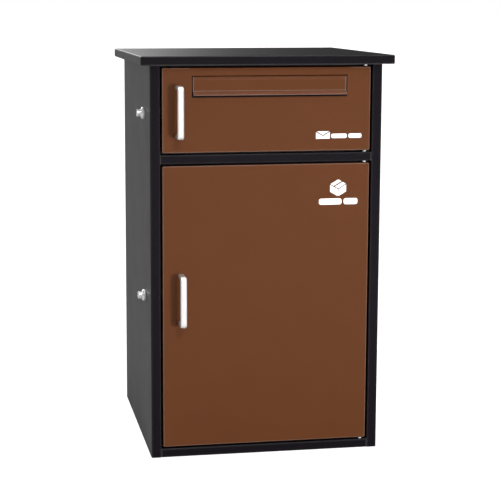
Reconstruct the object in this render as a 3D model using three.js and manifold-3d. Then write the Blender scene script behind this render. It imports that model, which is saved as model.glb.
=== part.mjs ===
// Parcel drop box: a sheet-steel cabinet with a mail compartment above a parcel compartment.
// Millimetres, +Z up. The object stands on Z = 0, centred on the origin, and its doors face -Y.
// Inside the group that holds the pieces, y is the distance behind the front face.
import * as THREE from 'three';
import { mergeVertices } from 'three/addons/utils/BufferGeometryUtils.js';
import Module from 'manifold-3d';

const wasm = await Module();
wasm.setup();

// ---------------------------------------------------------------- driving dimensions

const WIDTH = 470;
const DEPTH = 460;
const HEIGHT = 812;
const SHEET = 1.2;
const BEND = 2.2; // outer radius of every fold
const FIT = 0.3; // gap between pieces that touch

const ROOF_THICKNESS = 18;
const ROOF_OVERHANG = 20;
const ROOF_LIP = 40; // width of the roof's folded-in underside
const STILE_WIDTH = 20;
const STILE_RETURN = 18;
const BASE_RAIL_HEIGHT = 18;
const MIDDLE_RAIL_HEIGHT = 18;
const MIDDLE_RAIL_BOTTOM = 599;
const RAIL_DEPTH = 22;
const STOP_LIP = 12; // upstand behind a door's edge
const WELD_FLANGE = 12;
const BACK_FLANGE = 20;
const ANCHORS = { x: 160, y: 120 }; // floor anchors to the middle of the floor
const WALL_SCREWS = { x: 135, low: 150, high: 680 };

const DOOR_GAP = 4;
const DOOR_FLANGE = 15;
const HINGE_INSET = 9; // hinge axis to the door's side edge
const HINGE_DEPTH = 8; // hinge axis behind the front face
const PIN_RADIUS = 2.5;

const HANDLE_CENTRES = 96;
const HANDLE_BAR = 8;
const HANDLE_WIDTH = 13;
const HANDLE_REACH = 42;

const FLAP_LEFT = -149.5;
const FLAP_RIGHT = 160.5;
const FLAP_BOTTOM = 735;
const FLAP_LIP_TOP = 742;
const FLAP_AXIS_HEIGHT = 768;
const FLAP_ROLL_RADIUS = 3.5;
const FLAP_LIP_REACH = 10;
const FLAP_SIDE_GAP = 2.2;
const FLAP_TOP_GAP = 1.2;
const FLAP_BOTTOM_GAP = 5;
const ROD_RADIUS = 1.5;

const LOCK_DEPTH = 96; // lock axis behind the front face
const LOCK_TRAVEL = 8;
const TONGUE_SHEET = 2;

// ---------------------------------------------------------------- derived places

const SIDE = WIDTH / 2;
const OPENING_SIDE = SIDE - STILE_WIDTH;
const DOOR_SIDE = OPENING_SIDE - DOOR_GAP;
const BODY_TOP = HEIGHT - ROOF_THICKNESS;
const TOP_PANEL_TOP = BODY_TOP - FIT;
const TOP_PANEL_UNDERSIDE = TOP_PANEL_TOP - SHEET;
const MIDDLE_RAIL_TOP = MIDDLE_RAIL_BOTTOM + MIDDLE_RAIL_HEIGHT;
const LINER_SIDE = SIDE - SHEET - FIT; // outer face of the pieces between the side panels
const LINER_BACK = DEPTH - 2 * SHEET - 2 * FIT;
const LINER_FRONT = STILE_RETURN + FIT;
const HINGE_X = DOOR_SIDE - HINGE_INSET;
const PARCEL_DOOR = { bottom: BASE_RAIL_HEIGHT + DOOR_GAP, top: MIDDLE_RAIL_BOTTOM - DOOR_GAP };
const MAIL_DOOR = { bottom: MIDDLE_RAIL_TOP + DOOR_GAP, top: TOP_PANEL_UNDERSIDE - DOOR_GAP };
const MAIL_HANDLE = { x: -179.5, z: 702 };
const PARCEL_HANDLE = { x: -174.5, z: 327 };
const MAIL_LOCK_HEIGHT = 694;
const PARCEL_LOCK_HEIGHT = 318;

// ---------------------------------------------------------------- finishes

const BLACK_COAT = { color: 0x202023, roughness: 0.45, metalness: 0.3 };
const BROWN_COAT = { color: 0x6c422b, roughness: 0.5, metalness: 0.2 };
const BRIGHT_STEEL = { color: 0xd9d7d2, roughness: 0.22, metalness: 1 };
const ZINC = { color: 0xa9abad, roughness: 0.4, metalness: 0.9 };
const NYLON = { color: 0x18181a, roughness: 0.6, metalness: 0 };
const RUBBER = { color: 0x141414, roughness: 0.9, metalness: 0 };
const FERRITE = { color: 0x35353a, roughness: 0.7, metalness: 0.2 };

// ---------------------------------------------------------------- solids

// Corners snap to a thousandth of a millimetre, so faces that are meant to be flush are exactly flush.
function asSolid(geometry) {
  const snapped = Float32Array.from(geometry.getAttribute('position').array, (v) => Math.round(v * 1000) / 1000);
  const plain = new THREE.BufferGeometry();
  plain.setAttribute('position', new THREE.BufferAttribute(snapped, 3));
  plain.setIndex(geometry.getIndex());
  const merged = mergeVertices(plain, 1e-4);
  const index = merged.getIndex().array;
  const corners = [];
  for (let i = 0; i < index.length; i += 3) {
    const [a, b, c] = index.subarray(i, i + 3);
    if (a !== b && b !== c && c !== a) corners.push(a, b, c);
  }
  const mesh = new wasm.Mesh({
    numProp: 3,
    vertProperties: merged.getAttribute('position').array,
    triVerts: new Uint32Array(corners),
  });
  return new wasm.Manifold(mesh);
}

function asGeometry(solid) {
  const mesh = solid.getMesh();
  const geometry = new THREE.BufferGeometry();
  geometry.setAttribute('position', new THREE.Float32BufferAttribute(mesh.vertProperties, 3));
  geometry.setIndex(Array.from(mesh.triVerts));
  geometry.computeVertexNormals();
  return geometry;
}

function join(...solids) {
  return solids.reduce((whole, next) => whole.add(next));
}

function cut(solid, ...tools) {
  return tools.reduce((whole, tool) => whole.subtract(tool), solid);
}

// A box given by its [low, high] span along each axis.
function block(x, y, z) {
  const geometry = new THREE.BoxGeometry(x[1] - x[0], y[1] - y[0], z[1] - z[0]);
  geometry.translate((x[0] + x[1]) / 2, (y[0] + y[1]) / 2, (z[0] + z[1]) / 2);
  return asSolid(geometry);
}

const ALONG = {
  // outline (y, z) carried along x; outline (x, z) carried along y; outline (x, y) carried along z
  x: new THREE.Matrix4().makeBasis(
    new THREE.Vector3(0, 1, 0), new THREE.Vector3(0, 0, 1), new THREE.Vector3(1, 0, 0)),
  y: new THREE.Matrix4().makeBasis(
    new THREE.Vector3(1, 0, 0), new THREE.Vector3(0, 0, 1), new THREE.Vector3(0, -1, 0)),
  z: new THREE.Matrix4(),
};

// An outline carried from one place to another along an axis, its edges rounded if asked.
function extruded(shape, axis, [from, to], rounding = 0) {
  const geometry = new THREE.ExtrudeGeometry(shape, {
    depth: to - from - 2 * rounding,
    bevelEnabled: rounding > 0,
    bevelThickness: rounding,
    bevelSize: rounding,
    bevelOffset: -rounding,
    bevelSegments: 2,
    curveSegments: 3,
  });
  geometry.translate(0, 0, rounding);
  geometry.applyMatrix4(ALONG[axis]);
  const start = axis === 'y' ? to : from;
  geometry.translate(axis === 'x' ? start : 0, axis === 'y' ? start : 0, axis === 'z' ? start : 0);
  return asSolid(geometry);
}

function rectangle([left, right], [bottom, top], corner = 0) {
  const shape = new THREE.Shape();
  shape.moveTo(left + corner, bottom);
  shape.lineTo(right - corner, bottom);
  if (corner) shape.absarc(right - corner, bottom + corner, corner, -Math.PI / 2, 0);
  shape.lineTo(right, top - corner);
  if (corner) shape.absarc(right - corner, top - corner, corner, 0, Math.PI / 2);
  shape.lineTo(left + corner, top);
  if (corner) shape.absarc(left + corner, top - corner, corner, Math.PI / 2, Math.PI);
  shape.lineTo(left, bottom + corner);
  if (corner) shape.absarc(left + corner, bottom + corner, corner, Math.PI, 1.5 * Math.PI);
  return shape;
}

// A solid of revolution about an axis through (a, b), from [radius, place along the axis] points.
function turned(axis, [a, b], profile, segments = 16) {
  const outline = [...profile, profile[0]].map(([radius, along]) => new THREE.Vector2(radius, along));
  const geometry = new THREE.LatheGeometry(outline, segments);
  geometry.rotateX(Math.PI / 2);
  if (axis === 'x') geometry.applyMatrix4(ALONG.x);
  if (axis === 'y') geometry.rotateX(-Math.PI / 2);
  const centre = { x: [0, a, b], y: [a, 0, b], z: [a, b, 0] }[axis];
  geometry.translate(...centre);
  return asSolid(geometry);
}

function cylinder(axis, centre, radius, [from, to], segments) {
  return turned(axis, centre, [[0, from], [radius, from], [radius, to], [0, to]], segments);
}

// One rounded corner of an outline: points on the arc from one side to the next.
function filleted(before, corner, after, radius) {
  const arriving = corner.clone().sub(before).normalize();
  const leaving = after.clone().sub(corner).normalize();
  const turn = Math.atan2(arriving.cross(leaving), arriving.dot(leaving));
  const reach = radius * Math.tan(Math.abs(turn) / 2);
  const start = corner.clone().addScaledVector(arriving, -reach);
  const inward = new THREE.Vector2(-arriving.y, arriving.x).multiplyScalar(Math.sign(turn));
  const centre = start.clone().addScaledVector(inward, radius);
  const steps = 3;
  return Array.from({ length: steps + 1 }, (_, i) =>
    start.clone().rotateAround(centre, (turn * i) / steps));
}

// A strip of sheet folded along a path. The path is one face of the sheet; the other is to its left.
function foldedSheet(path, axis, span, sheet = SHEET) {
  const points = path.map(([u, v]) => new THREE.Vector2(u, v));
  const directions = points.slice(1).map((point, i) => point.clone().sub(points[i]).normalize());
  const left = directions.map((d) => new THREE.Vector2(-d.y, d.x));
  const last = points.length - 1;
  const shifted = points.map((point, i) => {
    const before = left[Math.max(i - 1, 0)];
    const after = left[Math.min(i, last - 1)];
    const mitre = before.clone().add(after).multiplyScalar(sheet / (1 + before.dot(after)));
    return point.clone().add(mitre);
  });
  const near = [points[0]];
  const far = [shifted[0]];
  for (let i = 1; i < last; i += 1) {
    const turnsLeft = directions[i - 1].cross(directions[i]) > 0;
    const [nearRadius, farRadius] = turnsLeft ? [BEND, BEND - sheet] : [BEND - sheet, BEND];
    near.push(...filleted(points[i - 1], points[i], points[i + 1], nearRadius));
    far.push(...filleted(shifted[i - 1], shifted[i], shifted[i + 1], farRadius));
  }
  near.push(points[last]);
  far.push(shifted[last]);
  return extruded(new THREE.Shape([...near, ...far.reverse()]), axis, span);
}

function piece(name, solid, finish) {
  const mesh = new THREE.Mesh(asGeometry(solid), new THREE.MeshStandardMaterial(finish));
  mesh.name = name;
  return mesh;
}

function assembly(...pieces) {
  const group = new THREE.Group();
  group.add(...pieces.flat());
  return group;
}

// ---------------------------------------------------------------- cabinet

const BOLT_HOLE_RADIUS = 2.8;
const ROOF_BOLTS = { x: SIDE - 11, front: 40, back: DEPTH - 40 };
const LOCK_HOLE_RADIUS = 9.7;

// One side wall with the front stile, its return and the flange behind the back panel.
function sidePanel(side) {
  const flangeFace = DEPTH - SHEET - FIT;
  const path = [
    [-SIDE + BACK_FLANGE, flangeFace],
    [-SIDE, flangeFace],
    [-SIDE, 0],
    [-OPENING_SIDE, 0],
    [-OPENING_SIDE, STILE_RETURN],
  ];
  const mirrored = path.map(([x, y]) => [-x, y]).reverse();
  return foldedSheet(side < 0 ? path : mirrored, 'z', [0, TOP_PANEL_TOP]);
}

function leftSidePanel() {
  const holes = [MAIL_LOCK_HEIGHT, PARCEL_LOCK_HEIGHT].map((z) =>
    cylinder('x', [LOCK_DEPTH, z], LOCK_HOLE_RADIUS, [-SIDE - 1, -SIDE + 3], LOCK_SEGMENTS));
  return cut(sidePanel(-1), ...holes);
}

function backPanel() {
  const holeRadius = 4.5;
  const holes = [];
  for (const x of [-WALL_SCREWS.x, WALL_SCREWS.x]) {
    for (const z of [WALL_SCREWS.low, WALL_SCREWS.high]) {
      holes.push(cylinder('y', [x, z], holeRadius, [DEPTH - 3, DEPTH + 1], 16));
    }
  }
  return cut(block([-SIDE, SIDE], [DEPTH - SHEET, DEPTH], [0, TOP_PANEL_TOP]), ...holes);
}

// A flat sheet between the walls, at the bottom or the top of the flanges turned along its edges.
function tray(front, [bottom, top], sheetOnTop, flanged = { front: false, back: true }) {
  const pocketHeight = sheetOnTop ? [bottom - 1, top - SHEET] : [bottom + SHEET, top + 1];
  const pocketFront = flanged.front ? front + SHEET : front - 1;
  const pocketBack = flanged.back ? LINER_BACK - SHEET : LINER_BACK + 1;
  return cut(
    block([-LINER_SIDE, LINER_SIDE], [front, LINER_BACK], [bottom, top]),
    block([-LINER_SIDE + SHEET, LINER_SIDE - SHEET], [pocketFront, pocketBack], pocketHeight),
  );
}

function floorPan() {
  const railWidth = [-OPENING_SIDE + FIT, OPENING_SIDE - FIT];
  const rail = foldedSheet([
    [RAIL_DEPTH, BASE_RAIL_HEIGHT + STOP_LIP],
    [RAIL_DEPTH, BASE_RAIL_HEIGHT],
    [0, BASE_RAIL_HEIGHT],
    [0, 0],
    [LINER_FRONT + 1, 0],
  ], 'x', railWidth);
  const anchorHoles = [];
  for (const x of [-ANCHORS.x, ANCHORS.x]) {
    for (const y of [DEPTH / 2 - ANCHORS.y, DEPTH / 2 + ANCHORS.y]) {
      anchorHoles.push(cylinder('z', [x, y], 5.5, [-1, 3], 16));
    }
  }
  const pinHole = cylinder('z', [HINGE_X, HINGE_DEPTH], BOLT_HOLE_RADIUS, [10, 20]);
  const pan = tray(LINER_FRONT, [0, WELD_FLANGE], false, { front: false, back: false });
  return cut(join(pan, rail), pinHole, ...anchorHoles);
}

function middleRail() {
  const rail = foldedSheet([
    [RAIL_DEPTH, MIDDLE_RAIL_TOP + STOP_LIP],
    [RAIL_DEPTH, MIDDLE_RAIL_TOP],
    [0, MIDDLE_RAIL_TOP],
    [0, MIDDLE_RAIL_BOTTOM],
    [RAIL_DEPTH, MIDDLE_RAIL_BOTTOM],
    [RAIL_DEPTH, MIDDLE_RAIL_BOTTOM - STOP_LIP],
  ], 'x', [-OPENING_SIDE + FIT, OPENING_SIDE - FIT]);
  const pinHoles = cylinder('z', [HINGE_X, HINGE_DEPTH], BOLT_HOLE_RADIUS,
    [MIDDLE_RAIL_BOTTOM - 1, MIDDLE_RAIL_TOP + 1]);
  return cut(rail, pinHoles);
}

function dividerShelf() {
  const front = RAIL_DEPTH + SHEET + FIT;
  return tray(front, [MIDDLE_RAIL_TOP - WELD_FLANGE, MIDDLE_RAIL_TOP], true, { front: true, back: true });
}

function topPanel() {
  const opening = [-OPENING_SIDE + FIT, OPENING_SIDE - FIT];
  const sheet = [TOP_PANEL_UNDERSIDE, TOP_PANEL_TOP];
  const holes = [cylinder('z', [HINGE_X, HINGE_DEPTH], BOLT_HOLE_RADIUS, [BODY_TOP - 4, BODY_TOP])];
  for (const x of [-ROOF_BOLTS.x, ROOF_BOLTS.x]) {
    for (const y of [ROOF_BOLTS.front, ROOF_BOLTS.back]) {
      holes.push(cylinder('z', [x, y], BOLT_HOLE_RADIUS, [BODY_TOP - 4, BODY_TOP]));
    }
  }
  const frontEdge = block(opening, [0, LINER_FRONT + 1], sheet);
  const doorStop = block(opening, [RAIL_DEPTH, RAIL_DEPTH + SHEET],
    [TOP_PANEL_UNDERSIDE - STOP_LIP, TOP_PANEL_TOP]);
  const panel = tray(LINER_FRONT, [TOP_PANEL_TOP - WELD_FLANGE, TOP_PANEL_TOP], true);
  return cut(join(panel, frontEdge, doorStop), ...holes);
}

// A shallow tray, open side down, folded in underneath all round.
function roofCap() {
  const x = SIDE + ROOF_OVERHANG;
  const front = -ROOF_OVERHANG;
  const back = DEPTH + ROOF_OVERHANG;
  const outer = extruded(rectangle([-x, x], [front, back], BEND + 0.5), 'z', [BODY_TOP, HEIGHT], BEND);
  const inner = extruded(
    rectangle([-x + SHEET, x - SHEET], [front + SHEET, back - SHEET], BEND), 'z',
    [BODY_TOP + SHEET, HEIGHT - SHEET], BEND - SHEET);
  const mouth = block([-x + ROOF_LIP, x - ROOF_LIP], [front + ROOF_LIP, back - ROOF_LIP],
    [BODY_TOP - 1, BODY_TOP + 3]);
  const holes = [];
  for (const boltX of [-ROOF_BOLTS.x, ROOF_BOLTS.x]) {
    for (const y of [ROOF_BOLTS.front, ROOF_BOLTS.back]) {
      holes.push(cylinder('z', [boltX, y], BOLT_HOLE_RADIUS, [BODY_TOP - 1, BODY_TOP + 3]));
    }
  }
  return cut(outer, inner, mouth, ...holes);
}

function roofBolt(x, y) {
  const head = TOP_PANEL_UNDERSIDE - FIT;
  return turned('z', [x, y], [
    [0, head - 2.7], [3, head - 2.7], [4.5, head - 1.2], [4.5, head],
    [2.5, head], [2.5, BODY_TOP + 8], [0, BODY_TOP + 8],
  ]);
}

function hexNut(axis, centre, acrossFlats, holeRadius, [from, to]) {
  const hexagon = cylinder(axis, centre, acrossFlats / Math.sqrt(3), [from, to], 6);
  return cut(hexagon, cylinder(axis, centre, holeRadius, [from - 1, to + 1], LOCK_SEGMENTS));
}

function roofFasteners() {
  const sides = { left: -ROOF_BOLTS.x, right: ROOF_BOLTS.x };
  const rows = { front: ROOF_BOLTS.front, rear: ROOF_BOLTS.back };
  const nut = [BODY_TOP + SHEET + FIT, BODY_TOP + SHEET + FIT + 4];
  const found = [];
  for (const [row, y] of Object.entries(rows)) {
    for (const [side, x] of Object.entries(sides)) {
      found.push(piece(`roof_bolt_${row}_${side}`, roofBolt(x, y), ZINC));
      found.push(piece(`roof_nut_${row}_${side}`, hexNut('z', [x, y], 8, BOLT_HOLE_RADIUS, nut), ZINC));
    }
  }
  return found;
}

// ---------------------------------------------------------------- door hinges

const PIN_COLLAR_RADIUS = 3.5;
const PIN_COLLAR = 2.4;
const PIN_IN_DOOR = 10;
const BUSH_RADIUS = 3.9;
const BUSH_FLANGE_RADIUS = 5.5;
const BUSH_FLANGE = 0.8;
const BUSH_BORE = PIN_RADIUS + 0.08;
const BUSH_LENGTH = 7;

// A pin riveted into a rail. Its z runs from the rail's face (0) towards the door.
function hingePin(name, railFace, towardsDoor, headed) {
  const shank = [[0, -SHEET], [PIN_RADIUS, -SHEET]];
  const head = [[0, -SHEET - FIT - 1.5], [4.5, -SHEET - FIT - 1.5], [4.5, -SHEET - FIT],
    [PIN_RADIUS, -SHEET - FIT]];
  const solid = turned('z', [0, 0], [
    ...(headed ? head : shank),
    [PIN_RADIUS, FIT],
    [PIN_COLLAR_RADIUS, FIT],
    [PIN_COLLAR_RADIUS, FIT + PIN_COLLAR],
    [PIN_RADIUS, FIT + PIN_COLLAR],
    [PIN_RADIUS, DOOR_GAP + PIN_IN_DOOR],
    [0, DOOR_GAP + PIN_IN_DOOR],
  ]);
  const pin = piece(name, solid, BRIGHT_STEEL);
  pin.position.set(HINGE_X, HINGE_DEPTH, railFace);
  if (towardsDoor < 0) pin.rotation.x = Math.PI;
  return pin;
}

// A flanged bush in a door's end flange. Its z runs from the door's edge (0) into the door.
function hingeBush(name, doorEdge, intoDoor) {
  const solid = turned('z', [0, 0], [
    [BUSH_BORE, -FIT - BUSH_FLANGE],
    [BUSH_FLANGE_RADIUS, -FIT - BUSH_FLANGE],
    [BUSH_FLANGE_RADIUS, -FIT],
    [BUSH_RADIUS, -FIT],
    [BUSH_RADIUS, BUSH_LENGTH],
    [BUSH_BORE, BUSH_LENGTH],
  ]);
  const bush = piece(name, solid, NYLON);
  bush.position.set(HINGE_X, HINGE_DEPTH, doorEdge);
  if (intoDoor < 0) bush.rotation.x = Math.PI;
  return bush;
}

// ---------------------------------------------------------------- door stops

// A pad between a stop and a door's flange edge, at rest just clear of the door.
const PAD_SPAN = [DOOR_FLANGE + FIT, RAIL_DEPTH - FIT];
const PAD_X = -190;
const MAGNET_X = -145;

function buffer(z) {
  return turned('y', [PAD_X, z], [
    [0, PAD_SPAN[0]], [3.5, PAD_SPAN[0]], [4.5, PAD_SPAN[0] + 1.5], [4.5, PAD_SPAN[1]], [0, PAD_SPAN[1]],
  ], 20);
}

function magnet(z) {
  return block([MAGNET_X - 15, MAGNET_X + 15], PAD_SPAN, [z - 4.5, z + 4.5]);
}

const PAD_INSET = 3.5; // pad centre inside the door's edge

function doorStops(name, door) {
  return [
    piece(`${name}_door_top_buffer`, buffer(door.top - PAD_INSET), RUBBER),
    piece(`${name}_door_bottom_buffer`, buffer(door.bottom + PAD_INSET), RUBBER),
    piece(`${name}_door_magnet`, magnet(door.bottom + PAD_INSET), FERRITE),
  ];
}

// ---------------------------------------------------------------- doors

const SCREW_HOLE_RADIUS = 2.2;

// A folded pan: the front sheet with flanges turned back on all four edges.
function doorPan(door, handle) {
  const side = [-DOOR_SIDE, DOOR_SIDE];
  const past = DOOR_FLANGE + 10;
  const outer = extruded(rectangle(side, [door.bottom, door.top], BEND + 0.5), 'y', [0, past], BEND);
  const pocket = extruded(
    rectangle([-DOOR_SIDE + SHEET, DOOR_SIDE - SHEET], [door.bottom + SHEET, door.top - SHEET], BEND),
    'y', [SHEET, past + 10], BEND - SHEET);
  const trim = block([-SIDE, SIDE], [DOOR_FLANGE, past + 1], [door.bottom - 1, door.top + 1]);
  const bushHoles = cylinder('z', [HINGE_X, HINGE_DEPTH], BUSH_RADIUS + FIT,
    [door.bottom - 1, door.top + 1]);
  const screwHoles = [-1, 1].map((end) =>
    cylinder('y', [handle.x, handle.z + (end * HANDLE_CENTRES) / 2], SCREW_HOLE_RADIUS, [-1, 3], 16));
  return cut(outer, trim, pocket, bushHoles, ...screwHoles);
}

// A bow handle: a rounded bar bent back to the door at both ends.
function bowHandle({ x, z }) {
  const reach = -HANDLE_REACH;
  const foot = -FIT;
  const half = (HANDLE_CENTRES + HANDLE_BAR) / 2;
  const inner = half - HANDLE_BAR;
  const outerBend = 7;
  const innerBend = 3;
  const bow = new THREE.Shape();
  bow.moveTo(foot, z + half);
  bow.absarc(reach + outerBend, z + half - outerBend, outerBend, Math.PI / 2, Math.PI);
  bow.absarc(reach + outerBend, z - half + outerBend, outerBend, Math.PI, 1.5 * Math.PI);
  bow.lineTo(foot, z - half);
  bow.lineTo(foot, z - inner);
  bow.absarc(reach + HANDLE_BAR + innerBend, z - inner + innerBend, innerBend, 1.5 * Math.PI, Math.PI, true);
  bow.absarc(reach + HANDLE_BAR + innerBend, z + inner - innerBend, innerBend, Math.PI, Math.PI / 2, true);
  bow.lineTo(foot, z + inner);
  const bar = extruded(bow, 'x', [x - HANDLE_WIDTH / 2, x + HANDLE_WIDTH / 2], 2.8);
  const screwHoles = [-1, 1].map((end) =>
    cylinder('y', [x, z + (end * HANDLE_CENTRES) / 2], 2.1, [-18, 1], 16));
  return cut(bar, ...screwHoles);
}

// A pan-head screw through the door sheet into a handle's foot.
function handleScrew(x, z) {
  const under = SHEET + FIT;
  return turned('y', [x, z], [
    [0, -16], [1.9, -16], [1.9, under], [4, under], [4, under + 1.4], [2.6, under + 2.5], [0, under + 2.5],
  ], 16);
}

// The angle inside a door whose tongue reaches back to the lock and takes the bolt in its hole.
function lockTongue(height) {
  const face = -201.5;
  const inside = [face, face + TONGUE_SHEET];
  const start = SHEET + FIT;
  const end = LOCK_DEPTH + 9;
  const blade = extruded(rectangle([start, end], [height - 12, height + 12], 3), 'x', inside);
  const foot = extruded(rectangle([face, face + 18], [height - 12, height + 12], 1), 'y',
    [start, start + TONGUE_SHEET]);
  const holeHalf = 5.2;
  const hole = block([face - 1, face + 3], [LOCK_DEPTH - holeHalf, LOCK_DEPTH + holeHalf],
    [height - holeHalf, height + holeHalf]);
  return cut(join(blade, foot), hole);
}

function doorStiffener() {
  return foldedSheet([
    [-28, SHEET + FIT], [-14, SHEET + FIT], [-14, 12.5], [14, 12.5], [14, SHEET + FIT], [28, SHEET + FIT],
  ], 'z', [60, 555]);
}

// ---------------------------------------------------------------- mail slot

const FLAP_AXIS = [FLAP_ROLL_RADIUS, FLAP_AXIS_HEIGHT];
const FLAP_TOP = FLAP_AXIS_HEIGHT + FLAP_ROLL_RADIUS;

function flapCutOut() {
  return block([FLAP_LEFT - FLAP_SIDE_GAP, FLAP_RIGHT + FLAP_SIDE_GAP], [-1, SHEET + 1],
    [FLAP_BOTTOM - FLAP_BOTTOM_GAP, FLAP_TOP + FLAP_TOP_GAP]);
}

// The flap's sheet is rolled round the hinge rod at the top and flared outwards at the bottom.
function mailFlap() {
  const span = [FLAP_LEFT, FLAP_RIGHT];
  const leaf = foldedSheet([
    [0, FLAP_AXIS_HEIGHT], [0, FLAP_LIP_TOP], [-FLAP_LIP_REACH, FLAP_BOTTOM],
  ], 'x', span);
  const roll = cylinder('x', FLAP_AXIS, FLAP_ROLL_RADIUS, span, 24);
  const rodHole = cylinder('x', FLAP_AXIS, ROD_RADIUS + 0.08, [FLAP_LEFT - 1, FLAP_RIGHT + 1], 16);
  return cut(join(leaf, roll), rodHole);
}

// A frame behind the cut-out: the flap closes against it, and its two ears hold the hinge rod.
const EAR_GAP = 4.5;
const SLOT_OVERLAP = 9;

function slotFrame() {
  const face = SHEET + FIT;
  const depth = [face, face + SHEET];
  const through = [face - 1, face + 10];
  const rodRoom = [FLAP_AXIS_HEIGHT - 5, FLAP_TOP + 2];
  const plate = block([FLAP_LEFT - 18, FLAP_RIGHT + 18], depth, [FLAP_BOTTOM - 12, FLAP_TOP + 8]);
  const slot = block([FLAP_LEFT + SLOT_OVERLAP, FLAP_RIGHT - SLOT_OVERLAP], through,
    [FLAP_BOTTOM + 5, FLAP_TOP + 2]);
  const rodSlot = block([FLAP_LEFT - 12, FLAP_RIGHT + 12], through, rodRoom);
  const earHeight = [rodRoom[0] - 4, rodRoom[1] + 4];
  const earDepth = [face, face + 7];
  const leftEar = block([FLAP_LEFT - EAR_GAP - SHEET, FLAP_LEFT - EAR_GAP], earDepth, earHeight);
  const rightEar = block([FLAP_RIGHT + EAR_GAP, FLAP_RIGHT + EAR_GAP + SHEET], earDepth, earHeight);
  const rodHoles = cylinder('x', FLAP_AXIS, ROD_RADIUS + FIT, [FLAP_LEFT - 15, FLAP_RIGHT + 15], 16);
  return cut(join(cut(plate, slot, rodSlot), leftEar, rightEar), rodHoles);
}

function flapRod() {
  return cylinder('x', FLAP_AXIS, ROD_RADIUS, [FLAP_LEFT - 9, FLAP_RIGHT + 9], 16);
}

// ---------------------------------------------------------------- locks

// A push lock through the left wall, drawn unlocked: the plunger stands out and its bolt is drawn back.
// Its x runs from the wall's outer face (0) into the cabinet, and its axis is at y = z = 0.
const LOCK = {
  flangeRadius: 12,
  flangeFace: -6,
  flangeEdge: 2.2,
  bodyRadius: 9.3,
  bodyEnd: 20,
  boreRadius: 7.6,
  boreEnd: 17,
  barrelRadius: 7.5,
  boltRadius: 4,
  boltEnd: 29,
  plugRadius: 5,
  plugDepth: 12.5,
};
const BARREL_FACE = LOCK.flangeFace - LOCK_TRAVEL - 0.5;
const BARREL_END = 4;
const LOCK_SEGMENTS = 24;

function lockHousing() {
  return turned('x', [0, 0], [
    [LOCK.boreRadius, LOCK.flangeFace],
    [LOCK.flangeRadius - LOCK.flangeEdge, LOCK.flangeFace],
    [LOCK.flangeRadius, LOCK.flangeFace + LOCK.flangeEdge],
    [LOCK.flangeRadius, -FIT],
    [LOCK.bodyRadius, -FIT],
    [LOCK.bodyRadius, LOCK.bodyEnd],
    [LOCK.boltRadius + FIT, LOCK.bodyEnd],
    [LOCK.boltRadius + FIT, LOCK.boreEnd],
    [LOCK.boreRadius, LOCK.boreEnd],
  ], LOCK_SEGMENTS);
}

function lockPlunger() {
  return turned('x', [0, 0], [
    [LOCK.plugRadius + 0.1, BARREL_FACE],
    [LOCK.barrelRadius - 0.8, BARREL_FACE],
    [LOCK.barrelRadius, BARREL_FACE + 0.8],
    [LOCK.barrelRadius, BARREL_END],
    [LOCK.boltRadius, BARREL_END],
    [LOCK.boltRadius, LOCK.boltEnd - 1],
    [LOCK.boltRadius - 1, LOCK.boltEnd],
    [0, LOCK.boltEnd],
    [0, BARREL_FACE + LOCK.plugDepth + FIT],
    [LOCK.plugRadius + 0.1, BARREL_FACE + LOCK.plugDepth + FIT],
  ], LOCK_SEGMENTS);
}

function keyPlug() {
  const face = BARREL_FACE + 0.2;
  const plug = cylinder('x', [0, 0], LOCK.plugRadius, [face, BARREL_FACE + LOCK.plugDepth], LOCK_SEGMENTS);
  const keyway = block([face - 1, face + 8], [-3.8, 3.8], [-0.8, 0.8]);
  return cut(plug, keyway);
}

class Coil extends THREE.Curve {
  constructor(radius, start, end, turns) {
    super();
    Object.assign(this, { radius, start, end, turns });
  }

  getPoint(t, target = new THREE.Vector3()) {
    const angle = 2 * Math.PI * this.turns * t;
    const along = this.start + (this.end - this.start) * t;
    return target.set(along, this.radius * Math.cos(angle), this.radius * Math.sin(angle));
  }
}

function lockSpring() {
  const wire = 0.45;
  const turns = 3.5;
  const coil = new Coil(5.8, BARREL_END + FIT + wire, LOCK.boreEnd - FIT - wire, turns);
  const section = new THREE.Shape();
  section.absarc(0, 0, wire, 0, 2 * Math.PI);
  const geometry = new THREE.ExtrudeGeometry(section, {
    steps: 10 * turns, curveSegments: 3, extrudePath: coil, bevelEnabled: false,
  });
  return asSolid(geometry);
}

function lockSet(name, height) {
  const nut = [SHEET + FIT, SHEET + FIT + 5];
  const lock = assembly(
    piece(`${name}_lock_housing`, lockHousing(), BRIGHT_STEEL),
    piece(`${name}_lock_nut`, hexNut('x', [0, 0], 24, LOCK.bodyRadius + FIT, nut), ZINC),
    piece(`${name}_lock_spring`, lockSpring(), ZINC),
    piece(`${name}_lock_plunger`, lockPlunger(), BRIGHT_STEEL),
    piece(`${name}_lock_key_plug`, keyPlug(), BRIGHT_STEEL),
  );
  lock.position.set(-SIDE, LOCK_DEPTH, height);
  return lock;
}

// ---------------------------------------------------------------- the whole object

function cabinet() {
  return assembly(
    piece('left_side_panel', leftSidePanel(), BLACK_COAT),
    piece('right_side_panel', sidePanel(1), BLACK_COAT),
    piece('back_panel', backPanel(), BLACK_COAT),
    piece('floor_pan', floorPan(), BLACK_COAT),
    piece('middle_rail', middleRail(), BLACK_COAT),
    piece('divider_shelf', dividerShelf(), BLACK_COAT),
    piece('top_panel', topPanel(), BLACK_COAT),
    piece('roof_cap', roofCap(), BLACK_COAT),
    roofFasteners(),
    hingePin('mail_door_top_pin', TOP_PANEL_UNDERSIDE, -1, false),
    hingePin('mail_door_bottom_pin', MIDDLE_RAIL_TOP, 1, true),
    hingePin('parcel_door_top_pin', MIDDLE_RAIL_BOTTOM, -1, true),
    hingePin('parcel_door_bottom_pin', BASE_RAIL_HEIGHT, 1, true),
    doorStops('mail', MAIL_DOOR),
    doorStops('parcel', PARCEL_DOOR),
  );
}

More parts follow.
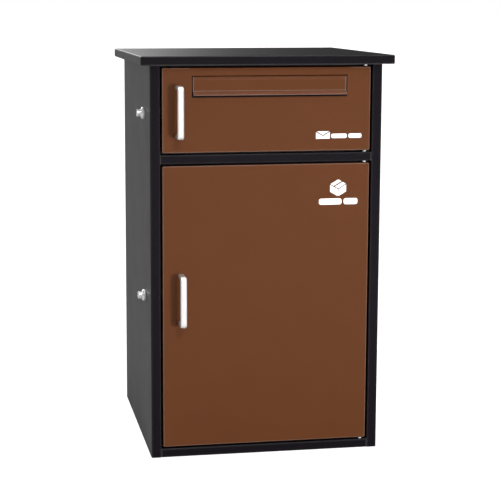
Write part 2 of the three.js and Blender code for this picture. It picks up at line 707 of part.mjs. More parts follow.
// What both doors carry: the handle with its screws, the lock tongue and the hinge bushes.
function doorFittings(name, door, handle, lockHeight) {
  const reach = HANDLE_CENTRES / 2;
  return [
    piece(`${name}_handle`, bowHandle(handle), BRIGHT_STEEL),
    piece(`${name}_handle_top_screw`, handleScrew(handle.x, handle.z + reach), ZINC),
    piece(`${name}_handle_bottom_screw`, handleScrew(handle.x, handle.z - reach), ZINC),
    piece(`${name}_lock_tongue`, lockTongue(lockHeight), ZINC),
    hingeBush(`${name}_door_top_bush`, door.top, -1),
    hingeBush(`${name}_door_bottom_bush`, door.bottom, 1),
  ];
}

function mailDoor() {
  return assembly(
    piece('mail_door_panel', cut(doorPan(MAIL_DOOR, MAIL_HANDLE), flapCutOut()), BROWN_COAT),
    doorFittings('mail', MAIL_DOOR, MAIL_HANDLE, MAIL_LOCK_HEIGHT),
    piece('mail_slot_frame', slotFrame(), BLACK_COAT),
    piece('mail_flap_rod', flapRod(), BLACK_COAT),
    piece('mail_flap', mailFlap(), BROWN_COAT),
  );
}

function parcelDoor() {
  return assembly(
    piece('parcel_door_panel', doorPan(PARCEL_DOOR, PARCEL_HANDLE), BROWN_COAT),
    doorFittings('parcel', PARCEL_DOOR, PARCEL_HANDLE, PARCEL_LOCK_HEIGHT),
    piece('parcel_door_stiffener', doorStiffener(), BROWN_COAT),
  );
}

const dropBox = assembly(
  cabinet(),
  mailDoor(),
  parcelDoor(),
  lockSet('mail', MAIL_LOCK_HEIGHT),
  lockSet('parcel', PARCEL_LOCK_HEIGHT),
);
dropBox.position.y = -DEPTH / 2;

export default dropBox;
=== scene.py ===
"""Looks for the parcel drop box: coats, metals, finer edges, door signs, studio and camera.

Metres, +Z up. The doors face -Y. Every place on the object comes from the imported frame.
"""

import math

import bmesh
import bpy
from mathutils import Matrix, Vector


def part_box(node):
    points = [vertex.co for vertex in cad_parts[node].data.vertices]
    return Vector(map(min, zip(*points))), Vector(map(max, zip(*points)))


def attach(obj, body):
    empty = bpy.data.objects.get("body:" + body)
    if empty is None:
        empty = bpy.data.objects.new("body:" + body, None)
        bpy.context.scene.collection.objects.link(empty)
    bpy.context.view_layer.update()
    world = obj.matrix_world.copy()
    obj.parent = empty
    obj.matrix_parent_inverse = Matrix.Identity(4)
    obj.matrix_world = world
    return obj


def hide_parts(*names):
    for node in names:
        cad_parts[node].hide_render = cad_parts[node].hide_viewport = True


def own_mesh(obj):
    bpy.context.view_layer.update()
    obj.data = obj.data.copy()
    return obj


MM = 0.001

# ---------------------------------------------------------------- what is made of what

# The black coat on the mail slot frame and the flap's rod, seen through the gaps round the flap, is
# partly painted shade for those gaps.
BLACK_NODES = (
    "left_side_panel", "right_side_panel", "back_panel", "floor_pan", "middle_rail",
    "divider_shelf", "top_panel", "roof_cap", "mail_slot_frame", "mail_flap_rod",
)
BROWN_NODES = ("parcel_door_panel", "parcel_door_stiffener")
PIN_NODES = (
    "mail_door_top_pin", "mail_door_bottom_pin", "parcel_door_top_pin",
    "parcel_door_bottom_pin",
)
DOORS = ("mail", "parcel")
ROOF_CORNERS = ("front_left", "front_right", "rear_left", "rear_right")

# ---------------------------------------------------------------- coats

BLACK = (0.0050, 0.0040, 0.0058)
# Edge colours: partly thinner paint, mostly a painted highlight on the rounded edges.
BLACK_EDGE = (0.058, 0.054, 0.055)
BLACK_GLOSS = 0.37  # roughness: a smaller number is glossier
BLACK_SPECULAR = 0.07
BROWN = (0.083, 0.0274, 0.0095)
# Painted highlight along the brown edges, with some thinner paint.
BROWN_EDGE = (0.200, 0.130, 0.102)
BROWN_LIT_LIP = (0.160, 0.062, 0.034)  # painted highlight on the flap's flared lip, where light falls on it
BROWN_GLOSS = 0.43
BROWN_SPECULAR = 0.10

EDGE_BAND = 3.0 * MM  # how far the lighter edge colour reaches from an edge: partly thinner paint, mostly a painted highlight
LIP_HEIGHT = 7.0 * MM  # the flared lower part of the flap, painted lighter as a painted highlight
NO_EDGE_LIGHT_ACROSS = 8.0 * MM  # no lighter edge colour round the flap, this far to its left and right
NO_EDGE_LIGHT_UP = 18.0 * MM  # and this far above and below it

NOISE_LOW, NOISE_HIGH = 0.3, 0.7  # where most values of a noise lie
HAIRLINE_STRETCH = 40.0  # how much longer than wide the lines in brushed steel are

# ---------------------------------------------------------------- sizes of the finer shapes

SHEET_EDGE = 0.35 * MM  # rounding of a sheet's cut edge
SMALL_EDGE = 0.15 * MM  # rounding on screws, bushes and pins
EDGE_SEGMENTS = 2
SHARP_ANGLE = math.radians(40)
FLAT_ANGLE = math.radians(0.5)

HANDLE_BEND = 9.0 * MM  # outer bend of the bow
HANDLE_BEND_STEPS = 10
HANDLE_CORNER = 3.3 * MM  # rounding of the bar's section
HANDLE_THICKNESS = 8.0 * MM

SPRING_WIRE = 0.45 * MM  # half the wire's thickness
SPRING_TURNS = 3.5
SPRING_SIDES = 10  # flats round the wire
SPRING_STEPS_PER_TURN = 24

# ---------------------------------------------------------------- door signs

SIGN_THICKNESS = 0.12 * MM
SIGN_LIFT = 0.02 * MM  # air under a sign
SIGN_GAP = 1.7 * MM  # width of the lines left open in a pictogram
WORD_CORNER = 0.35  # rounding of a bar's corners, as a share of its height

MAIL_SIGN_ACROSS = 111.5 * MM  # from the sign's left edge to the door's right edge
MAIL_SIGN_UP = 24.0 * MM  # from the door's lower edge
ENVELOPE_WIDTH = 28.5 * MM
ENVELOPE_HEIGHT = 15.0 * MM
ENVELOPE_TIP = 0.45  # height of the envelope flap's point, as a share of its height
MAIL_WORDS = ((31.5 * MM, 32.0 * MM), (67.0 * MM, 27.0 * MM))  # start and width of each bar
MAIL_WORD_UP = 0.9 * MM  # the bars start this far above the envelope's lower edge
MAIL_WORD_HEIGHT = 9.0 * MM

PARCEL_SIGN_ACROSS = 103.8 * MM  # from the sign's left edge to the door's right edge
PARCEL_SIGN_DOWN = 83.7 * MM  # from the door's upper edge to the lower edge of the bars
PARCEL_WORDS = ((0.0, 47.0 * MM), (51.0 * MM, 29.0 * MM))
PARCEL_WORD_HEIGHT = 12.5 * MM
CARTON_ACROSS = 39.4 * MM  # middle of the carton, from the sign's left edge
CARTON_UP = 17.2 * MM  # the carton's lowest corner, from the lower edge of the bars
CARTON_WIDTH = 31.5 * MM
CARTON_SIDE = 0.47  # height of the carton's sides, as a share of its width
CARTON_SLOPE = math.tan(math.radians(30))
TAPE_START, TAPE_END = 0.42, 0.58  # the strip of tape, as shares of the lid's depth

# ---------------------------------------------------------------- studio and camera

AMBIENT = 0.03
TOP_GLOW = 0.6
TOP_TILT = 0.4  # leans the glow above towards the front
TOP_FADE = (0.3, 0.9)  # from none to full, by the height of the direction
FRONT_GLOW = 1.1
FRONT_FADE = (0.82, 0.97)  # by how straight the direction points to the front
REAR_GLOW = 5.4
REAR_RIGHT_FADE = (math.radians(11), math.radians(-3))  # 0 is straight behind, minus is left
REAR_LEFT_FADE = (-0.95, 0.02)  # radians
REAR_HORIZON_FADE = (-0.02, 0.12)  # by the height of the direction

KEY_PLACE, KEY_TARGET = (0.1, -3.6, 3.0), (0.0, -0.23, 0.5)
KEY_SIZE = (0.6, 0.5)
KEY_POWER = 65.0
OVERHEAD_PLACE, OVERHEAD_TARGET = (0.0, -0.8, 2.6), (0.0, -0.5, 0.0)
OVERHEAD_SIZE = (1.4, 1.0)
OVERHEAD_POWER = 50.0
FILL_PLACE, FILL_TARGET = (0.72, -2.75, 0.5), (0.0, -0.23, -0.6)
FILL_SIZE = (0.3, 0.4)
FILL_POWER = 61.0

FLOOR_HALF_SIZE = 30.0
FLOOR_COLOUR = (0.57, 0.57, 0.57)
FLOOR_LIFT = 0.75  # added brightness where the floor is seen

CAMERA_PLACE = (-0.579, -2.966, 0.912)
CAMERA_YAW = math.radians(9.41)
CAMERA_PITCH = math.radians(8.32)  # downwards
CAMERA_SENSOR = 36.0  # millimetres, as is the lens
CAMERA_LENS = 101.4
CAMERA_SHIFT = (0.09, -0.08)


# ---------------------------------------------------------------- shader helpers

class Nodes:
    """A material's or world's node tree, emptied, and short calls that add and join nodes."""

    def __init__(self, owner):
        owner.use_nodes = True
        self.tree = owner.node_tree
        self.tree.nodes.clear()

    def add(self, kind, **settings):
        node = self.tree.nodes.new(kind)
        for key, value in settings.items():
            setattr(node, key, value)
        return node

    def link(self, source, target):
        self.tree.links.new(source, target)

    def maths(self, operation, *values):
        """One math operation on numbers and other nodes' outputs."""
        node = self.add("ShaderNodeMath", operation=operation)
        for socket, value in zip(node.inputs, values):
            if isinstance(value, float):
                socket.default_value = value
            else:
                self.link(value, socket)
        return node.outputs["Value"]

    def ranged(self, value, low, high, to_low=0.0, to_high=1.0):
        """Goes smoothly from `to_low` to `to_high` as the value goes from `low` to `high`."""
        node = self.add("ShaderNodeMapRange", interpolation_type="SMOOTHSTEP")
        node.inputs["From Min"].default_value = low
        node.inputs["From Max"].default_value = high
        node.inputs["To Min"].default_value = to_low
        node.inputs["To Max"].default_value = to_high
        self.link(value, node.inputs["Value"])
        return node.outputs["Result"]

    def seen_directly(self, lighting, seen):
        """The shader `seen` where the camera looks straight at it, `lighting` for all else."""
        choose = self.add("ShaderNodeMixShader")
        path = self.add("ShaderNodeLightPath")
        self.link(path.outputs["Is Camera Ray"], choose.inputs["Fac"])
        self.link(lighting, choose.inputs[1])
        self.link(seen, choose.inputs[2])
        return choose.outputs["Shader"]


class Coat(Nodes):
    """A new material with one Principled shader."""

    def __init__(self, name, **values):
        self.material = bpy.data.materials.new(name)
        super().__init__(self.material)
        self.surface = self.add("ShaderNodeBsdfPrincipled")
        output = self.add("ShaderNodeOutputMaterial")
        self.link(self.surface.outputs["BSDF"], output.inputs["Surface"])
        for socket, value in values.items():
            self.surface.inputs[socket.replace("_", " ")].default_value = value
        self.place = self.add("ShaderNodeTexCoord").outputs["Object"]

    def feed(self, source, socket):
        self.link(source, self.surface.inputs[socket])

    def stretched(self, scale):
        """The place on the piece, scaled by a different amount along each axis."""
        mapping = self.add("ShaderNodeMapping")
        mapping.inputs["Scale"].default_value = scale
        self.link(self.place, mapping.inputs["Vector"])
        return mapping.outputs["Vector"]

    def along(self, axis):
        """The place on the piece along one axis only."""
        parts = self.add("ShaderNodeSeparateXYZ")
        self.link(self.place, parts.inputs["Vector"])
        return parts.outputs[axis]

    def outside(self, low, high):
        """0 between two corners seen from the front, 1 elsewhere."""
        within = []
        for axis, start, end in (("X", low.x, high.x), ("Z", low.z, high.z)):
            middle, reach = (start + end) / 2, (end - start) / 2
            within.append(self.maths("COMPARE", self.along(axis), middle, reach))
        return self.maths("SUBTRACT", 1.0, self.maths("MULTIPLY", *within))

    def noise(self, size, detail=3.0, roughness=0.5, place=None):
        """Soft noise, 0 to 1, whose blotches are about `size` metres across."""
        node = self.add("ShaderNodeTexNoise")
        node.inputs["Scale"].default_value = 1.0 / size
        node.inputs["Detail"].default_value = detail
        node.inputs["Roughness"].default_value = roughness
        self.link(place or self.place, node.inputs["Vector"])
        return node.outputs["Fac"]

    def spread(self, noise, to_low=0.0, to_high=1.0):
        """A noise whose usual values are spread from `to_low` to `to_high`."""
        return self.ranged(noise, NOISE_LOW, NOISE_HIGH, to_low, to_high)

    def cells(self, size):
        """Distance to the nearest of many points about `size` metres apart."""
        node = self.add("ShaderNodeTexVoronoi", feature="SMOOTH_F1")
        node.inputs["Scale"].default_value = 1.0 / size
        node.inputs["Smoothness"].default_value = 0.6
        self.link(self.place, node.inputs["Vector"])
        return node.outputs["Distance"]

    def mixed(self, share, first, second):
        """A colour between two, each a colour or another node's output."""
        node = self.add("ShaderNodeMix", data_type="RGBA")
        self.link(share, node.inputs["Factor"])
        for socket, value in ((node.inputs["A"], first), (node.inputs["B"], second)):
            if isinstance(value, tuple):
                socket.default_value = (*value, 1.0)
            else:
                self.link(value, socket)
        return node.outputs["Result"]

    def bumped(self, height, depth, normal=None):
        """A normal from a height of 0 to 1 that stands for `depth` metres."""
        node = self.add("ShaderNodeBump")
        node.inputs["Distance"].default_value = depth
        self.link(height, node.inputs["Height"])
        if normal is not None:
            self.link(normal, node.inputs["Normal"])
        return node.outputs["Normal"]

    def edges(self, width):
        """1 along the piece's edges, 0 on its flats."""
        rounded = self.add("ShaderNodeBevel", samples=6)
        rounded.inputs["Radius"].default_value = width
        flat = self.add("ShaderNodeNewGeometry")
        agree = self.add("ShaderNodeVectorMath", operation="DOT_PRODUCT")
        self.link(rounded.outputs["Normal"], agree.inputs[0])
        self.link(flat.outputs["Normal"], agree.inputs[1])
        return self.ranged(agree.outputs["Value"], 0.995, 0.93)


# ---------------------------------------------------------------- coats and metals

def powder_coat(name, colour, edge_colour, gloss, specular, handled=None, sheltered=None):
    """Satin powder coat: orange-peel grain, a slightly wavy sheet, and a lighter colour along the
    edges, partly for thinner paint and mostly a painted highlight.

    `handled` is a height and a colour: below that height the coat is painted that
    lighter colour in patches, a painted highlight of light falling on the flap's lip. Between the
    two corners `sheltered` the edges get no lighter colour.
    """
    coat = Coat(name, Metallic=0.0, Specular_IOR_Level=specular)
    deep = tuple(0.965 * part for part in colour)
    light = tuple(1.035 * part for part in colour)
    tone = coat.spread(coat.noise(60 * MM, detail=5.0), 0.0, 0.5)
    speck = coat.ranged(coat.noise(0.7 * MM, detail=1.0), 0.25, 0.75, 0.0, 0.5)
    body = coat.mixed(coat.maths("ADD", tone, speck), deep, light)
    # Painted highlight: below the lip's height the flap is painted lighter in patches, where light
    # falls on it.
    if handled is not None:
        height, lip_light_colour = handled
        patches = coat.spread(coat.noise(25 * MM, detail=4.0), 0.6, 1.0)
        reach = coat.ranged(coat.along("Z"), height, height - MM)
        body = coat.mixed(coat.maths("MULTIPLY", patches, reach), body, lip_light_colour)
    # Lighter colour along the edges: partly thinner paint, mostly a painted highlight.
    thin_paint_and_highlight = coat.edges(EDGE_BAND)
    if sheltered is not None:
        thin_paint_and_highlight = coat.maths("MULTIPLY", thin_paint_and_highlight, coat.outside(*sheltered))
    coat.feed(coat.mixed(thin_paint_and_highlight, body, edge_colour), "Base Color")
    smudge = coat.noise(90 * MM, detail=4.0, roughness=0.6)
    coat.feed(coat.spread(smudge, gloss - 0.012, gloss + 0.012), "Roughness")
    wave = coat.bumped(coat.noise(160 * MM, detail=1.0), 0.03 * MM)
    peel = coat.bumped(coat.noise(1.1 * MM, detail=2.0), 0.012 * MM, wave)
    grain = coat.bumped(coat.cells(0.45 * MM), 0.005 * MM, peel)
    coat.feed(grain, "Normal")
    return coat.material


def brown_coat(name, **extras):
    return powder_coat(name, BROWN, BROWN_EDGE, BROWN_GLOSS, BROWN_SPECULAR, **extras)


def satin_steel(name, colour, gloss, along, metallic):
    """Polished steel with fine hairlines along one axis, and cloudy spots where hands touched it.
    """
    coat = Coat(name, Metallic=metallic)
    scale = [1.0 if axis == along else HAIRLINE_STRETCH for axis in "xyz"]
    lines = coat.noise(12 * MM, detail=3.0, place=coat.stretched(scale))
    dull = tuple(0.88 * part for part in colour)
    coat.feed(coat.mixed(coat.spread(lines), colour, dull), "Base Color")
    cloud = coat.noise(9 * MM, detail=4.0)
    hairline = coat.spread(lines, gloss - 0.05, gloss + 0.05)
    handled = coat.ranged(cloud, 0.45, 0.75, 0.0, 0.08)
    coat.feed(coat.maths("ADD", hairline, handled), "Roughness")
    coat.feed(coat.bumped(lines, 0.0015 * MM), "Normal")
    return coat.material


def zinc_plate(name):
    """Bright zinc: crystals of slightly different greys, a little blue, with dull spots."""
    coat = Coat(name, Metallic=1.0)
    crystals = coat.add("ShaderNodeTexVoronoi")
    crystals.inputs["Scale"].default_value = 1.0 / (1.6 * MM)
    coat.link(coat.place, crystals.inputs["Vector"])
    grey = coat.add("ShaderNodeSeparateColor")
    coat.link(crystals.outputs["Color"], grey.inputs["Color"])
    shade = grey.outputs["Red"]
    coat.feed(coat.mixed(shade, (0.36, 0.37, 0.385), (0.50, 0.51, 0.52)), "Base Color")
    coat.feed(coat.spread(coat.noise(5 * MM, detail=4.0), 0.28, 0.5), "Roughness")
    coat.feed(coat.bumped(coat.noise(0.6 * MM), 0.008 * MM), "Normal")
    return coat.material


def moulded(name, colour, gloss, grain_size, grain_depth):
    """Nylon, rubber and pressed powder parts: a matt grained surface."""
    coat = Coat(name, Metallic=0.0, Specular_IOR_Level=0.4)
    tone = coat.noise(4 * MM, detail=4.0)
    light = tuple(1.35 * part for part in colour)
    coat.feed(coat.mixed(coat.spread(tone), colour, light), "Base Color")
    coat.feed(coat.spread(tone, gloss - 0.05, gloss + 0.05), "Roughness")
    coat.feed(coat.bumped(coat.noise(grain_size, detail=3.0), grain_depth), "Normal")
    return coat.material


def white_vinyl(name):
    """Thin white film: a faint warm tint in patches and a very fine grain."""
    coat = Coat(name, Metallic=0.0, Specular_IOR_Level=0.3)
    tint = coat.spread(coat.noise(8 * MM, detail=3.0))
    coat.feed(coat.mixed(tint, (0.93, 0.93, 0.92), (0.88, 0.875, 0.86)), "Base Color")
    coat.feed(coat.spread(coat.noise(3 * MM), 0.38, 0.5), "Roughness")
    coat.feed(coat.bumped(coat.noise(0.5 * MM), 0.004 * MM), "Normal")
    return coat.material


def make_materials():
    """Every material by its short name."""
    flap_low, flap_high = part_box("mail_flap")
    margin = Vector((NO_EDGE_LIGHT_ACROSS, 0.0, NO_EDGE_LIGHT_UP))
    return {
        "black_coat": powder_coat(
            "black_powder_coat", BLACK, BLACK_EDGE, BLACK_GLOSS, BLACK_SPECULAR),
        "brown_coat": brown_coat("brown_powder_coat"),
        # No painted edge highlight on the mail door round the flap and up to its shaded top.
        "mail_door_coat": brown_coat(
            "brown_powder_coat_mail_door", sheltered=(flap_low - margin, flap_high + margin)),
        # The flap's lip is painted lighter: a painted highlight of light falling on it.
        "flap_coat": brown_coat(
            "brown_powder_coat_flap", handled=(flap_low.z + LIP_HEIGHT, BROWN_LIT_LIP)),
        "handle_steel": satin_steel("satin_steel_handle", (0.80, 0.78, 0.76), 0.38, "z", 0.6),
        "lock_steel": satin_steel("satin_steel_lock", (0.95, 0.95, 0.95), 0.30, "x", 0.55),
        "pin_steel": satin_steel("satin_steel_pin", (0.95, 0.94, 0.93), 0.30, "z", 0.3),
        "zinc": zinc_plate("zinc_plate"),
        "black_nylon": moulded("black_nylon", (0.010, 0.010, 0.011), 0.50, 0.8 * MM, 0.01 * MM),
        "black_rubber": moulded("black_rubber", (0.008, 0.008, 0.008), 0.80, 0.5 * MM, 0.03 * MM),
        "ferrite": moulded("ferrite", (0.030, 0.030, 0.036), 0.62, 0.3 * MM, 0.02 * MM),
        "white_print": white_vinyl("white_vinyl"),
    }


def paint(piece, material):
    """Gives the piece one material in place of whatever it came with."""
    piece.data.materials.clear()
    piece.data.materials.append(material)


# ---------------------------------------------------------------- finer edges on the CAD nodes

def refine(node, width):
    """Rounds a CAD node's sharp edges and shades its bends smoothly, all with modifiers."""
    mesh = node.data
    mesh.polygons.foreach_set("use_smooth", [True] * len(mesh.polygons))
    for name in ("custom_normal", "sharp_edge", "sharp_face"):
        attribute = mesh.attributes.get(name)
        if attribute is not None:
            mesh.attributes.remove(attribute)
    weld = node.modifiers.new("weld", "WELD")
    weld.merge_threshold = 1e-6
    flats = node.modifiers.new("flats", "DECIMATE")
    flats.decimate_type = "DISSOLVE"
    flats.angle_limit = FLAT_ANGLE
    rounding = node.modifiers.new("rounding", "BEVEL")
    rounding.width = width
    rounding.segments = EDGE_SEGMENTS
    rounding.limit_method = "ANGLE"
    rounding.angle_limit = SHARP_ANGLE
    rounding.use_clamp_overlap = True
    rounding.miter_outer = "MITER_ARC"
    shading = node.modifiers.new("shading", "WEIGHTED_NORMAL")
    shading.weight = 90
    shading.keep_sharp = False


def dress_nodes(nodes, materials):
    """A material and softened edges for every CAD node that stays in view."""
    coats = [(BLACK_NODES, "black_coat"), (BROWN_NODES, "brown_coat"),
             (("mail_door_panel",), "mail_door_coat"), (("mail_flap",), "flap_coat")]
    for names, look in coats:
        for name in names:
            paint(nodes[name], materials[look])
            refine(nodes[name], SHEET_EDGE)
    small = {name: "pin_steel" for name in PIN_NODES}
    for corner in ROOF_CORNERS:
        small[f"roof_bolt_{corner}"] = "zinc"
        small[f"roof_nut_{corner}"] = "zinc"
    for door in DOORS:
        for part in ("handle_top_screw", "handle_bottom_screw", "lock_tongue", "lock_nut"):
            small[f"{door}_{part}"] = "zinc"
        for part in ("lock_housing", "lock_plunger", "lock_key_plug"):
            small[f"{door}_{part}"] = "lock_steel"
        for end in ("top", "bottom"):
            small[f"{door}_door_{end}_bush"] = "black_nylon"
            small[f"{door}_door_{end}_buffer"] = "black_rubber"
        small[f"{door}_door_magnet"] = "ferrite"
    for name, look in small.items():
        paint(nodes[name], materials[look])
        refine(nodes[name], SMALL_EDGE)


# ---------------------------------------------------------------- mesh helpers

def new_piece(name, mesh_data, body, material, smooth=True):
    """An object of the part from a bmesh: it rides on a body and has one material."""
    bmesh.ops.recalc_face_normals(mesh_data, faces=mesh_data.faces)
    mesh = bpy.data.meshes.new(name)
    mesh_data.to_mesh(mesh)
    mesh_data.free()
    piece = bpy.data.objects.new(name, mesh)
    bpy.context.scene.collection.objects.link(piece)
    for face in mesh.polygons:
        face.use_smooth = smooth
    paint(piece, material)
    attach(piece, body)
    return piece


def sweep(mesh_data, rings):
    """Faces between each ring of vertices and the next, and a cap on both ends."""
    for ring, after in zip(rings, rings[1:]):
        for j in range(len(ring)):
            k = (j + 1) % len(ring)
            mesh_data.faces.new((ring[j], ring[k], after[k], after[j]))
    for end in (rings[0], rings[-1]):
        mesh_data.faces.new(end)


def arc(centre, radius, start, end, steps):
    """Points on a circle, angles in degrees."""
    angles = [math.radians(start + (end - start) * i / steps) for i in range(steps + 1)]
    return [(centre[0] + radius * math.cos(a), centre[1] + radius * math.sin(a)) for a in angles]


def rounded_rectangle(width, height, corner, steps):
    x, y = width / 2 - corner, height / 2 - corner
    corners = ((x, y, 0), (-x, y, 90), (-x, -y, 180), (x, -y, 270))
    return [p for a, b, turn in corners for p in arc((a, b), corner, turn, turn + 90, steps)]


# ---------------------------------------------------------------- bow handles

def bow_path(low, high):
    """The bar's centre line from the upper foot to the lower one, as (y, z), with its heading."""
    half = HANDLE_THICKNESS / 2
    bend = HANDLE_BEND - half
    front, back = low.y + half, high.y
    top, bottom = high.z - half, low.z + half
    line = [((back, top), 180.0)]
    for height, start in ((top - bend, 90), (bottom + bend, 180)):
        corner = arc((front + bend, height), bend, start, start + 90, HANDLE_BEND_STEPS)
        for i, point in enumerate(corner):
            line.append((point, start + 90.0 + 90.0 * i / HANDLE_BEND_STEPS))
    line.append(((back, bottom), 360.0))
    return line


def bow_handle(door, material):
    """A bar of rounded section bent back to the door at both ends."""
    node = f"{door}_handle"
    low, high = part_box(node)
    middle = (low.x + high.x) / 2
    section = rounded_rectangle(high.x - low.x, HANDLE_THICKNESS, HANDLE_CORNER, steps=6)
    mesh_data = bmesh.new()
    rings = []
    for (y, z), heading in bow_path(low, high):
        turn = math.radians(heading)
        outward = Vector((0, -math.sin(turn), math.cos(turn)))
        rings.append([
            mesh_data.verts.new(Vector((middle + across, y, z)) + outward * thick)
            for across, thick in section
        ])
    sweep(mesh_data, rings)
    bar = new_piece(f"{door}_handle_bar", mesh_data, f"{door}_door", material)
    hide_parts(node)


# ---------------------------------------------------------------- lock springs

def spring_ring(mesh_data, centre, outward):
    """One round section of the wire, in the plane that holds the coil's axis."""
    sides = [2 * math.pi * i / SPRING_SIDES for i in range(SPRING_SIDES)]
    return [
        mesh_data.verts.new(
            centre + SPRING_WIRE * (outward * math.cos(a) + Vector((math.sin(a), 0, 0))))
        for a in sides
    ]


def lock_spring(door, material):
    """A wire coil round the lock's bolt, built at one fixed length on the cabinet; the real one
    shortens as the plunger is pushed in.
    """
    node = f"{door}_lock_spring"
    low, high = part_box(node)
    middle = (low + high) / 2
    radius = (high.y - low.y) / 2 - SPRING_WIRE
    length = high.x - low.x
    steps = round(SPRING_TURNS * SPRING_STEPS_PER_TURN)
    mesh_data = bmesh.new()
    rings = []
    for i in range(steps + 1):
        turn = 2 * math.pi * SPRING_TURNS * i / steps
        outward = Vector((0, math.cos(turn), math.sin(turn)))
        along = low.x + SPRING_WIRE + (length - 2 * SPRING_WIRE) * i / steps
        centre = Vector((along, middle.y, middle.z)) + radius * outward
        rings.append(spring_ring(mesh_data, centre, outward))
    sweep(mesh_data, rings)
    coil = new_piece(f"{door}_lock_spring_coil", mesh_data, "cabinet", material)
    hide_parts(node)
    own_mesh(coil)


# ---------------------------------------------------------------- the signs' outlines

def envelope(left, bottom):
    """An envelope seen from the front: its body, and the flap as a triangle above it."""
    right, middle = left + ENVELOPE_WIDTH, left + ENVELOPE_WIDTH / 2
    top, tip = bottom + ENVELOPE_HEIGHT, bottom + ENVELOPE_TIP * ENVELOPE_HEIGHT
    body = [(left, bottom), (right, bottom), (right, top - SIGN_GAP),
            (middle, tip - SIGN_GAP), (left, top - SIGN_GAP)]
    flap = [(left + SIGN_GAP, top), (middle, tip + SIGN_GAP / 2), (right - SIGN_GAP, top)]
    return [body, flap]


def carton(centre_x, bottom):
    """A closed carton seen from a corner: two sides, and a lid that a strip of tape parts."""
    half = CARTON_WIDTH / 2
    rise = half * CARTON_SLOPE
    gap = SIGN_GAP / 2
    side = CARTON_WIDTH * CARTON_SIDE

    def point(right, back, up, shift=0.0):
        """A corner at right and back, each 0 to 1 along its edge of the lid."""
        x = centre_x + half * (right - back) + shift
        return (x, bottom + rise * (right + back) + up)

    def lid_strip(start, end):
        corners = ((0, start), (1, start), (1, end), (0, end))
        return [point(right, back, side + gap) for right, back in corners]

    left_side = [point(0, back, up, -gap)
                 for back, up in ((0, 0), (0, side - gap), (1, side - gap), (1, 0))]
    right_side = [point(right, 0, up, gap)
                  for right, up in ((0, 0), (1, 0), (1, side - gap), (0, side - gap))]
    return [left_side, right_side, lid_strip(0, TAPE_START), lid_strip(TAPE_END, 1)]


def word_bars(left, bottom, height, words):
    """Plain bars with rounded ends in place of words, each with its start and width."""
    bars = []
    for start, width in words:
        centre_x, centre_z = left + start + width / 2, bottom + height / 2
        outline = rounded_rectangle(width, height, height * WORD_CORNER, steps=4)
        bars.append([(centre_x + x, centre_z + z) for x, z in outline])
    return bars


# ---------------------------------------------------------------- door signs

def shape_prism(mesh_data, outline, front):
    """A flat plate, SIGN_THICKNESS thick, from an (x, z) outline, with its front face at y =
    `front`.
    """
    near, far = [
        [mesh_data.verts.new((x, y, z)) for x, z in outline]
        for y in (front, front + SIGN_THICKNESS)
    ]
    mesh_data.faces.new(near)
    mesh_data.faces.new(list(reversed(far)))
    for i in range(len(near)):
        j = (i + 1) % len(near)
        mesh_data.faces.new((near[j], near[i], far[i], far[j]))


def door_sign(name, door, outlines, material):
    """A printed film on a door's front, in the shape of the outlines."""
    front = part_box(f"{door}_door_panel")[0].y - SIGN_LIFT - SIGN_THICKNESS
    mesh_data = bmesh.new()
    for outline in outlines:
        shape_prism(mesh_data, outline, front)
    new_piece(name, mesh_data, f"{door}_door", material, smooth=False)


def mail_sign(material):
    """An envelope with two bars to its right, low on the mail door's right side."""
    low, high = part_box("mail_door_panel")
    left, bottom = high.x - MAIL_SIGN_ACROSS, low.z + MAIL_SIGN_UP
    outlines = envelope(left, bottom)
    outlines += word_bars(left, bottom + MAIL_WORD_UP, MAIL_WORD_HEIGHT, MAIL_WORDS)
    door_sign("mail_door_sign", "mail", outlines, material)


def parcel_sign(material):
    """A carton above two bars, high on the parcel door's right side."""
    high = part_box("parcel_door_panel")[1]
    left, bottom = high.x - PARCEL_SIGN_ACROSS, high.z - PARCEL_SIGN_DOWN
    outlines = carton(left + CARTON_ACROSS, bottom + CARTON_UP)
    outlines += word_bars(left, bottom, PARCEL_WORD_HEIGHT, PARCEL_WORDS)
    door_sign("parcel_door_sign", "parcel", outlines, material)


# ---------------------------------------------------------------- studio

def make_floor():
    """A pale floor, lifted almost to white where it is seen, so that only a faint shadow stays."""
    mesh_data = bmesh.new()
    bmesh.ops.create_grid(mesh_data, x_segments=1, y_segments=1, size=FLOOR_HALF_SIZE)
    mesh = bpy.data.meshes.new("floor")
    mesh_data.to_mesh(mesh)
    mesh_data.free()
    floor = bpy.data.objects.new("floor", mesh)
    bpy.context.scene.collection.objects.link(floor)
    material = bpy.data.materials.new("pale_floor")
    nodes = Nodes(material)
    matt = nodes.add("ShaderNodeBsdfDiffuse")
    matt.inputs["Color"].default_value = (*FLOOR_COLOUR, 1.0)
    lift = nodes.add("ShaderNodeEmission")
    lift.inputs["Strength"].default_value = FLOOR_LIFT
    lifted = nodes.add("ShaderNodeAddShader")
    nodes.link(matt.outputs["BSDF"], lifted.inputs[0])
    nodes.link(lift.outputs["Emission"], lifted.inputs[1])
    shown = nodes.seen_directly(matt.outputs["BSDF"], lifted.outputs["Shader"])
    output = nodes.add("ShaderNodeOutputMaterial")
    nodes.link(shown, output.inputs["Surface"])
    paint(floor, material)


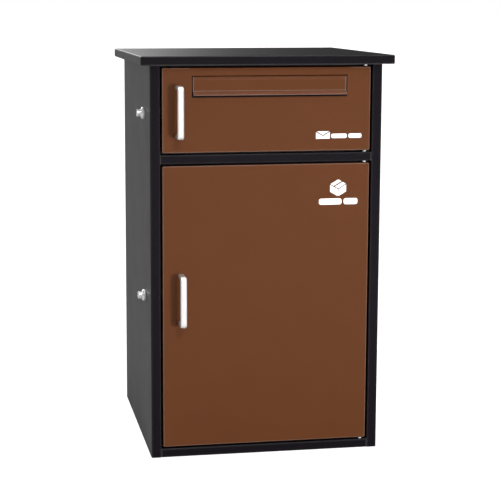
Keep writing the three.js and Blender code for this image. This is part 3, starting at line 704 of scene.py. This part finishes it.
def studio_glow(nodes):
    """How strongly the world lights from each direction: above, in front, and behind on the left.

    The glow behind fades towards the horizon, so the cabinet's side mirrors only the floor.
    """
    direction = nodes.add("ShaderNodeTexCoord").outputs["Generated"]
    parts = nodes.add("ShaderNodeSeparateXYZ")
    nodes.link(direction, parts.inputs["Vector"])
    x, y, z = parts.outputs
    turn = nodes.maths("ARCTAN2", x, y)
    tilted = nodes.maths("SUBTRACT", z, nodes.maths("MULTIPLY", y, TOP_TILT))
    above = nodes.ranged(tilted, *TOP_FADE)
    in_front = nodes.ranged(nodes.maths("MULTIPLY", y, -1.0), *FRONT_FADE)
    behind = nodes.ranged(turn, *REAR_RIGHT_FADE)
    for value, fade in ((turn, REAR_LEFT_FADE), (z, REAR_HORIZON_FADE)):
        behind = nodes.maths("MULTIPLY", behind, nodes.ranged(value, *fade))
    total = nodes.maths("ADD", nodes.maths("MULTIPLY", above, TOP_GLOW), AMBIENT)
    total = nodes.maths("ADD", nodes.maths("MULTIPLY", behind, REAR_GLOW), total)
    return nodes.maths("ADD", nodes.maths("MULTIPLY", in_front, FRONT_GLOW), total)


def make_world():
    """White where the camera looks straight at it, the studio's glow for everything else."""
    world = bpy.data.worlds.new("studio")
    bpy.context.scene.world = world
    nodes = Nodes(world)
    seen = nodes.add("ShaderNodeBackground")
    lighting = nodes.add("ShaderNodeBackground")
    for background in (seen, lighting):
        background.inputs["Color"].default_value = (1.0, 1.0, 1.0, 1.0)
    nodes.link(studio_glow(nodes), lighting.inputs["Strength"])
    shown = nodes.seen_directly(lighting.outputs["Background"], seen.outputs["Background"])
    output = nodes.add("ShaderNodeOutputWorld")
    nodes.link(shown, output.inputs["Surface"])


def softbox(name, place, target, size, power):
    """A rectangular light that is itself out of the camera's sight."""
    light = bpy.data.lights.new(name, "AREA")
    light.shape = "RECTANGLE"
    light.size, light.size_y = size
    light.energy = power
    lamp = bpy.data.objects.new(name, light)
    bpy.context.scene.collection.objects.link(lamp)
    lamp.location = place
    aim = Vector(target) - Vector(place)
    lamp.rotation_euler = aim.to_track_quat("-Z", "Y").to_euler()
    lamp.visible_camera = False
    return lamp


def make_lights():
    """A key in front and above, highlights from overhead, and a low fill that adds no highlight."""
    softbox("key_above_front", KEY_PLACE, KEY_TARGET, KEY_SIZE, KEY_POWER)
    overhead = softbox(
        "overhead", OVERHEAD_PLACE, OVERHEAD_TARGET, OVERHEAD_SIZE, OVERHEAD_POWER)
    overhead.visible_diffuse = False
    fill = softbox("fill_right", FILL_PLACE, FILL_TARGET, FILL_SIZE, FILL_POWER)
    fill.visible_glossy = False


def make_camera():
    """A long lens from the front left, a little higher than the roof, shifted to frame the box."""
    camera = bpy.data.objects.new("camera", bpy.data.cameras.new("camera"))
    bpy.context.scene.collection.objects.link(camera)
    camera.location = CAMERA_PLACE
    camera.rotation_euler = (math.pi / 2 - CAMERA_PITCH, 0.0, -CAMERA_YAW)
    camera.data.sensor_width = CAMERA_SENSOR
    camera.data.lens = CAMERA_LENS
    camera.data.shift_x, camera.data.shift_y = CAMERA_SHIFT
    bpy.context.scene.camera = camera


# ---------------------------------------------------------------- the scene

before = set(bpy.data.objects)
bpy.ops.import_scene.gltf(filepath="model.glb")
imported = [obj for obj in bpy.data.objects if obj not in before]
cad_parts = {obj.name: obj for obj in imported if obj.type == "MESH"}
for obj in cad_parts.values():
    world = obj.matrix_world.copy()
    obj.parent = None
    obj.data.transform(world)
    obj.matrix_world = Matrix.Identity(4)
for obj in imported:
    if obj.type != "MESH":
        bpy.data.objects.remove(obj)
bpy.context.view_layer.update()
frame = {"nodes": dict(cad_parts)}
looks = make_materials()
dress_nodes(frame["nodes"], looks)
for door_name in DOORS:
    bow_handle(door_name, looks["handle_steel"])
    lock_spring(door_name, looks["zinc"])
mail_sign(looks["white_print"])
parcel_sign(looks["white_print"])
make_floor()
make_world()
make_lights()
make_camera()
bpy.context.scene.view_settings.view_transform = "Standard"
